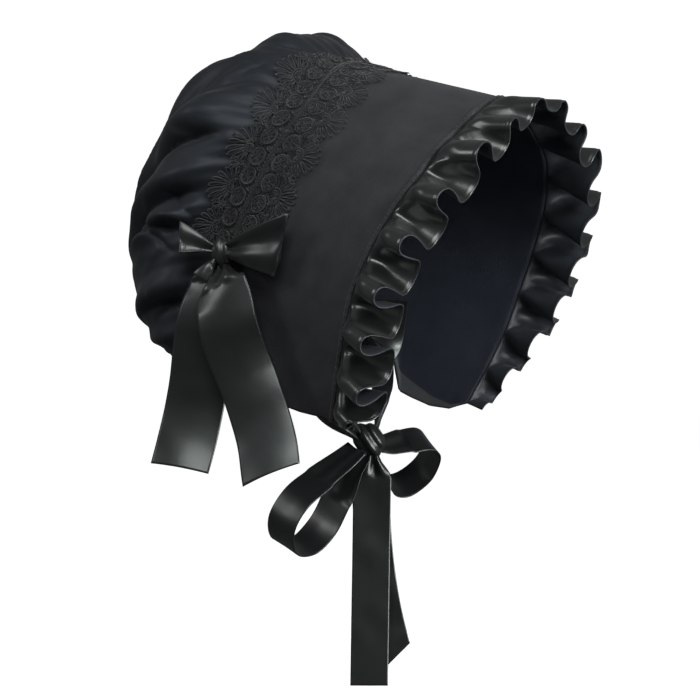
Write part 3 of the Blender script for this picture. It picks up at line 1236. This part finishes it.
far = side_knot + SIDE_FRONT_LOOP * unit([0, -1, 0.08])
standoff = RIBBON_GAP + RIBBON_CLOTH + SIDE_LOOP_PUFF / 2
under = [side_knot[1] * (1 - share) + far[1] * share for share in (0.5, 0.8, 1.1)]
far[0] = min(outermost(y, far[2]) for y in under) - standoff
front_way = far - side_knot
# Columns: name, the way out of the knot, the way across, length, opening, width, slant of its outer end, seed
# of its ripples. The third is a small fold of the same ribbon.
SIDE_LOOPS = (
    ("bow_loop_front", front_way, (0, 0.08, 1), SIDE_FRONT_LOOP, SIDE_LOOP_PUFF, SIDE_RIBBON, 0.42, 5),
    ("bow_loop_back", (-0.55, 0.80, 0.34), (0.40, -0.10, 0.90), 0.021, 0.0050, 0.020, 0.30, 8),
    ("bow_tuck", (-0.45, 0.45, -0.75), (-0.10, 0.85, 0.50), 0.0130, 0.0040, 0.0105, 0.0, 9),
)
for name, out, side, length, opening, width, slant, seed in SIDE_LOOPS:
    size = (length, opening, width, SIDE_PINCH, 1.0, slant, seed)
    ribbon_loop(name, side_knot, side_knot_half, FLAT_LOOP, out, out, side, *size)

# Columns: name, column of SIDE_TAIL_SWINGS, swing along Y for its length, layers under it, dome at its top,
# share of SIDE_TAIL_KICK at its end, slant of its end, seed of its ripples.
SIDE_TAILS = (
    ("bow_tail_back", 2, 0.22, 0, 0.25, 1.50, 0.0, 3),
    ("bow_tail_front", 1, -0.34, 1, 1.00, 1.15, 0.16, 6),
)
swings = np.array(SIDE_TAIL_SWINGS)
for name, column, swing, layers, dome, kick, slant, seed in SIDE_TAILS:
    share = np.linspace(0, 1, 97)
    turn = SIDE_TAIL_TURN * ease(share / 0.35)
    drawn = SIDE_PINCH + (1 - SIDE_PINCH) * ease(share / 0.11)
    y = side_knot[1] + swing * SIDE_TAIL * on_curve(smooth_curve(swings), share)[:, column]
    top = side_knot - np.array([(layers - 0.5) * 2 * RIBBON_GAP, 0, 0])
    edge = np.array([0, SIDE_RIBBON * SIDE_PINCH / 2, 0])
    top = seat(side_knot, side_knot_half, (0, 0, -1), top, edge, np.zeros(3)) + (0, 0, 0.002)
    z = top[2] - SIDE_TAIL * share
    beneath = np.array([outermost(*place_on) for place_on in zip(y, z)])
    x = np.minimum.accumulate(beneath) - 2 * RIBBON_GAP - layers * 4 * RIBBON_GAP
    x = np.mean(neighbours(np.mean(neighbours(x, 14, 0), axis=0), 10, 0), axis=0)
    x = np.minimum(x, np.mean(neighbours(beneath, 3, 0), axis=0) - 2 * RIBBON_GAP)
    x -= np.sin(turn) * SIDE_RIBBON * drawn / 2
    x -= dome * SIDE_TAIL_DOME * ease((share + 0.06) / 0.16) * (1 - ease((share - 0.12) / 0.45))
    x = top[0] + (x - top[0]) * ease(share / 0.08)
    kicked = kick * SIDE_TAIL_KICK * np.clip((share - 0.50) / 0.50, 0, 1) ** 2.5
    x, y = x - kicked, y - SIDE_TAIL_DRIFT * kicked
    centres = np.stack([x, y, z], -1)
    run = unit(np.gradient(centres, axis=0))
    facing = np.stack([-np.cos(turn), -np.sin(turn), np.zeros_like(turn)], -1)
    sides = unit(np.cross(run, facing))
    curl = -np.sign(np.dot(np.cross(run[50], sides[50]), facing[50])) * SIDE_TAIL_CURL
    ribbon(name, centres, sides, SIDE_RIBBON, drawn, SIDE_FLUTES, slant, 0.0008, seed, curl)

# The chin ties are narrow satin ribbons, sewn inside the flaps and tied in a bow under the chin. The bow has a
# long loop to the right, a short one to the left, and two hanging tails.
TIE_RIBBON = 0.025
TIE_PINCH = 0.34
TIE_LOOP_PINCH = 0.72
TIE_LOOP = 0.083
TIE_OPENING = 0.043
TIE_TAIL = 0.153
TIE_FLUTES = 2
STRAP_U = 0.82
STRAP_V = 0.24

tie_knot, tie_knot_half = middle_of("tie_knot")
tie_knot_size = tie_knot_half[2] / 0.55
wrap_half = tie_knot_half * (1.15, 1.15, 1.35)
knot_wrap("tie_knot_wrap", tie_knot + (0, 0, 0.003), wrap_half, (0.50, -0.35, -0.8), (0.5, -0.866, 0.5))

for name, side in (("tie_right", -1), ("tie_left", 1)):
    top_u, top_v = np.array(side * STRAP_U), np.array(STRAP_V)
    sewn = brim_at(top_u, top_v) - brim_out(top_u, top_v) * (BRIM_CLOTH + 4 * GAP + 2 * RIBBON_GAP)
    leaves = unit([side * 0.85, 0.2, 0.5])
    end = tie_knot + leaves * (0.9 / np.linalg.norm(leaves / tie_knot_half))
    elbow = end + 1.5 * tie_knot_size * leaves + np.array([0, 0, 0.3 * tie_knot_size])
    halfway = 0.5 * sewn + 0.5 * elbow - np.array([side * 0.2 * tie_knot_size, 0, 0])
    share = np.linspace(0, 1, 91)
    centres = on_curve(smooth_curve([sewn, halfway, elbow, end]), share)
    run = unit(np.gradient(centres, axis=0))
    on_flap = unit(brim_at(top_u, 0.0) - brim_at(top_u, 1.0))
    turned = ease((share - 0.10) / 0.5)[:, None]
    flat = on_flap * (1 - turned) + np.array([side * 0.3, -0.2, 0.9]) * turned
    sides = unit(flat - run * np.sum(flat * run, axis=1, keepdims=True))
    drawn = 1 - 0.70 * ease((share - 0.70) / 0.30)
    ribbon(name, centres, sides, TIE_RIBBON, drawn, TIE_FLUTES, ripple=0.0004, seed=4 + side)

# Columns: name, the way it leaves the knot, the way out, the way across, shares of TIE_LOOP and TIE_OPENING,
# seed of its ripples.
TIE_LOOPS = (
    ("tie_loop_right", (-0.80, 0.50, -0.45), (-0.49, 0.40, -0.755), (0.175, 0.93, 0.30), 0.94, 1.02, 12),
    ("tie_loop_left", (0.94, 0.10, -0.40), (0.94, -0.27, -0.34), (0.34, 0.76, 0.56), 0.60, 1.02, 13),
)
for name, leaves, out, side, length, opening, seed in TIE_LOOPS:
    size = (length * TIE_LOOP, opening * TIE_OPENING, TIE_RIBBON, TIE_LOOP_PINCH, 0.40, 0.0, seed)
    ribbon_loop(name, tie_knot, tie_knot_half, ROUND_LOOP, leaves, out, side, *size)

# Columns: name, swing along X and Y for its length, bend of the swing, share of TIE_TAIL, place under the knot
# along X and Y, slant of its end, seed of its ripples.
TIE_TAILS = (
    ("tie_tail_front", -0.03, 0.0, 1.0, 1.00, (-0.45, -0.7), 0.0, 15),
    ("tie_tail_back", 0.06, -0.11, 2.6, 0.88, (0.42, 0.1), -0.8, 16),
)
across_way = unit([0.50, -0.866, 0.0])
for name, swing_x, swing_y, bend, length, place_on, slant, seed in TIE_TAILS:
    share = np.linspace(0, 1, 111)
    drawn = TIE_PINCH + (1 - TIE_PINCH) * ease(share / 0.10)
    start = tie_knot + tie_knot_half * (*place_on, 0)
    edge = across_way * TIE_RIBBON * TIE_PINCH / 2
    root = seat(tie_knot, tie_knot_half, (0, 0, -1), start, edge, np.zeros(3)) + (0, 0, 0.002)
    drift = length * TIE_TAIL * share**bend
    centres = root + np.stack([swing_x * drift, swing_y * drift, -length * TIE_TAIL * share], -1)
    sides = np.tile(across_way, (len(share), 1))
    ribbon(name, centres, sides, TIE_RIBBON, drawn, TIE_FLUTES, slant, 0.0010, seed)
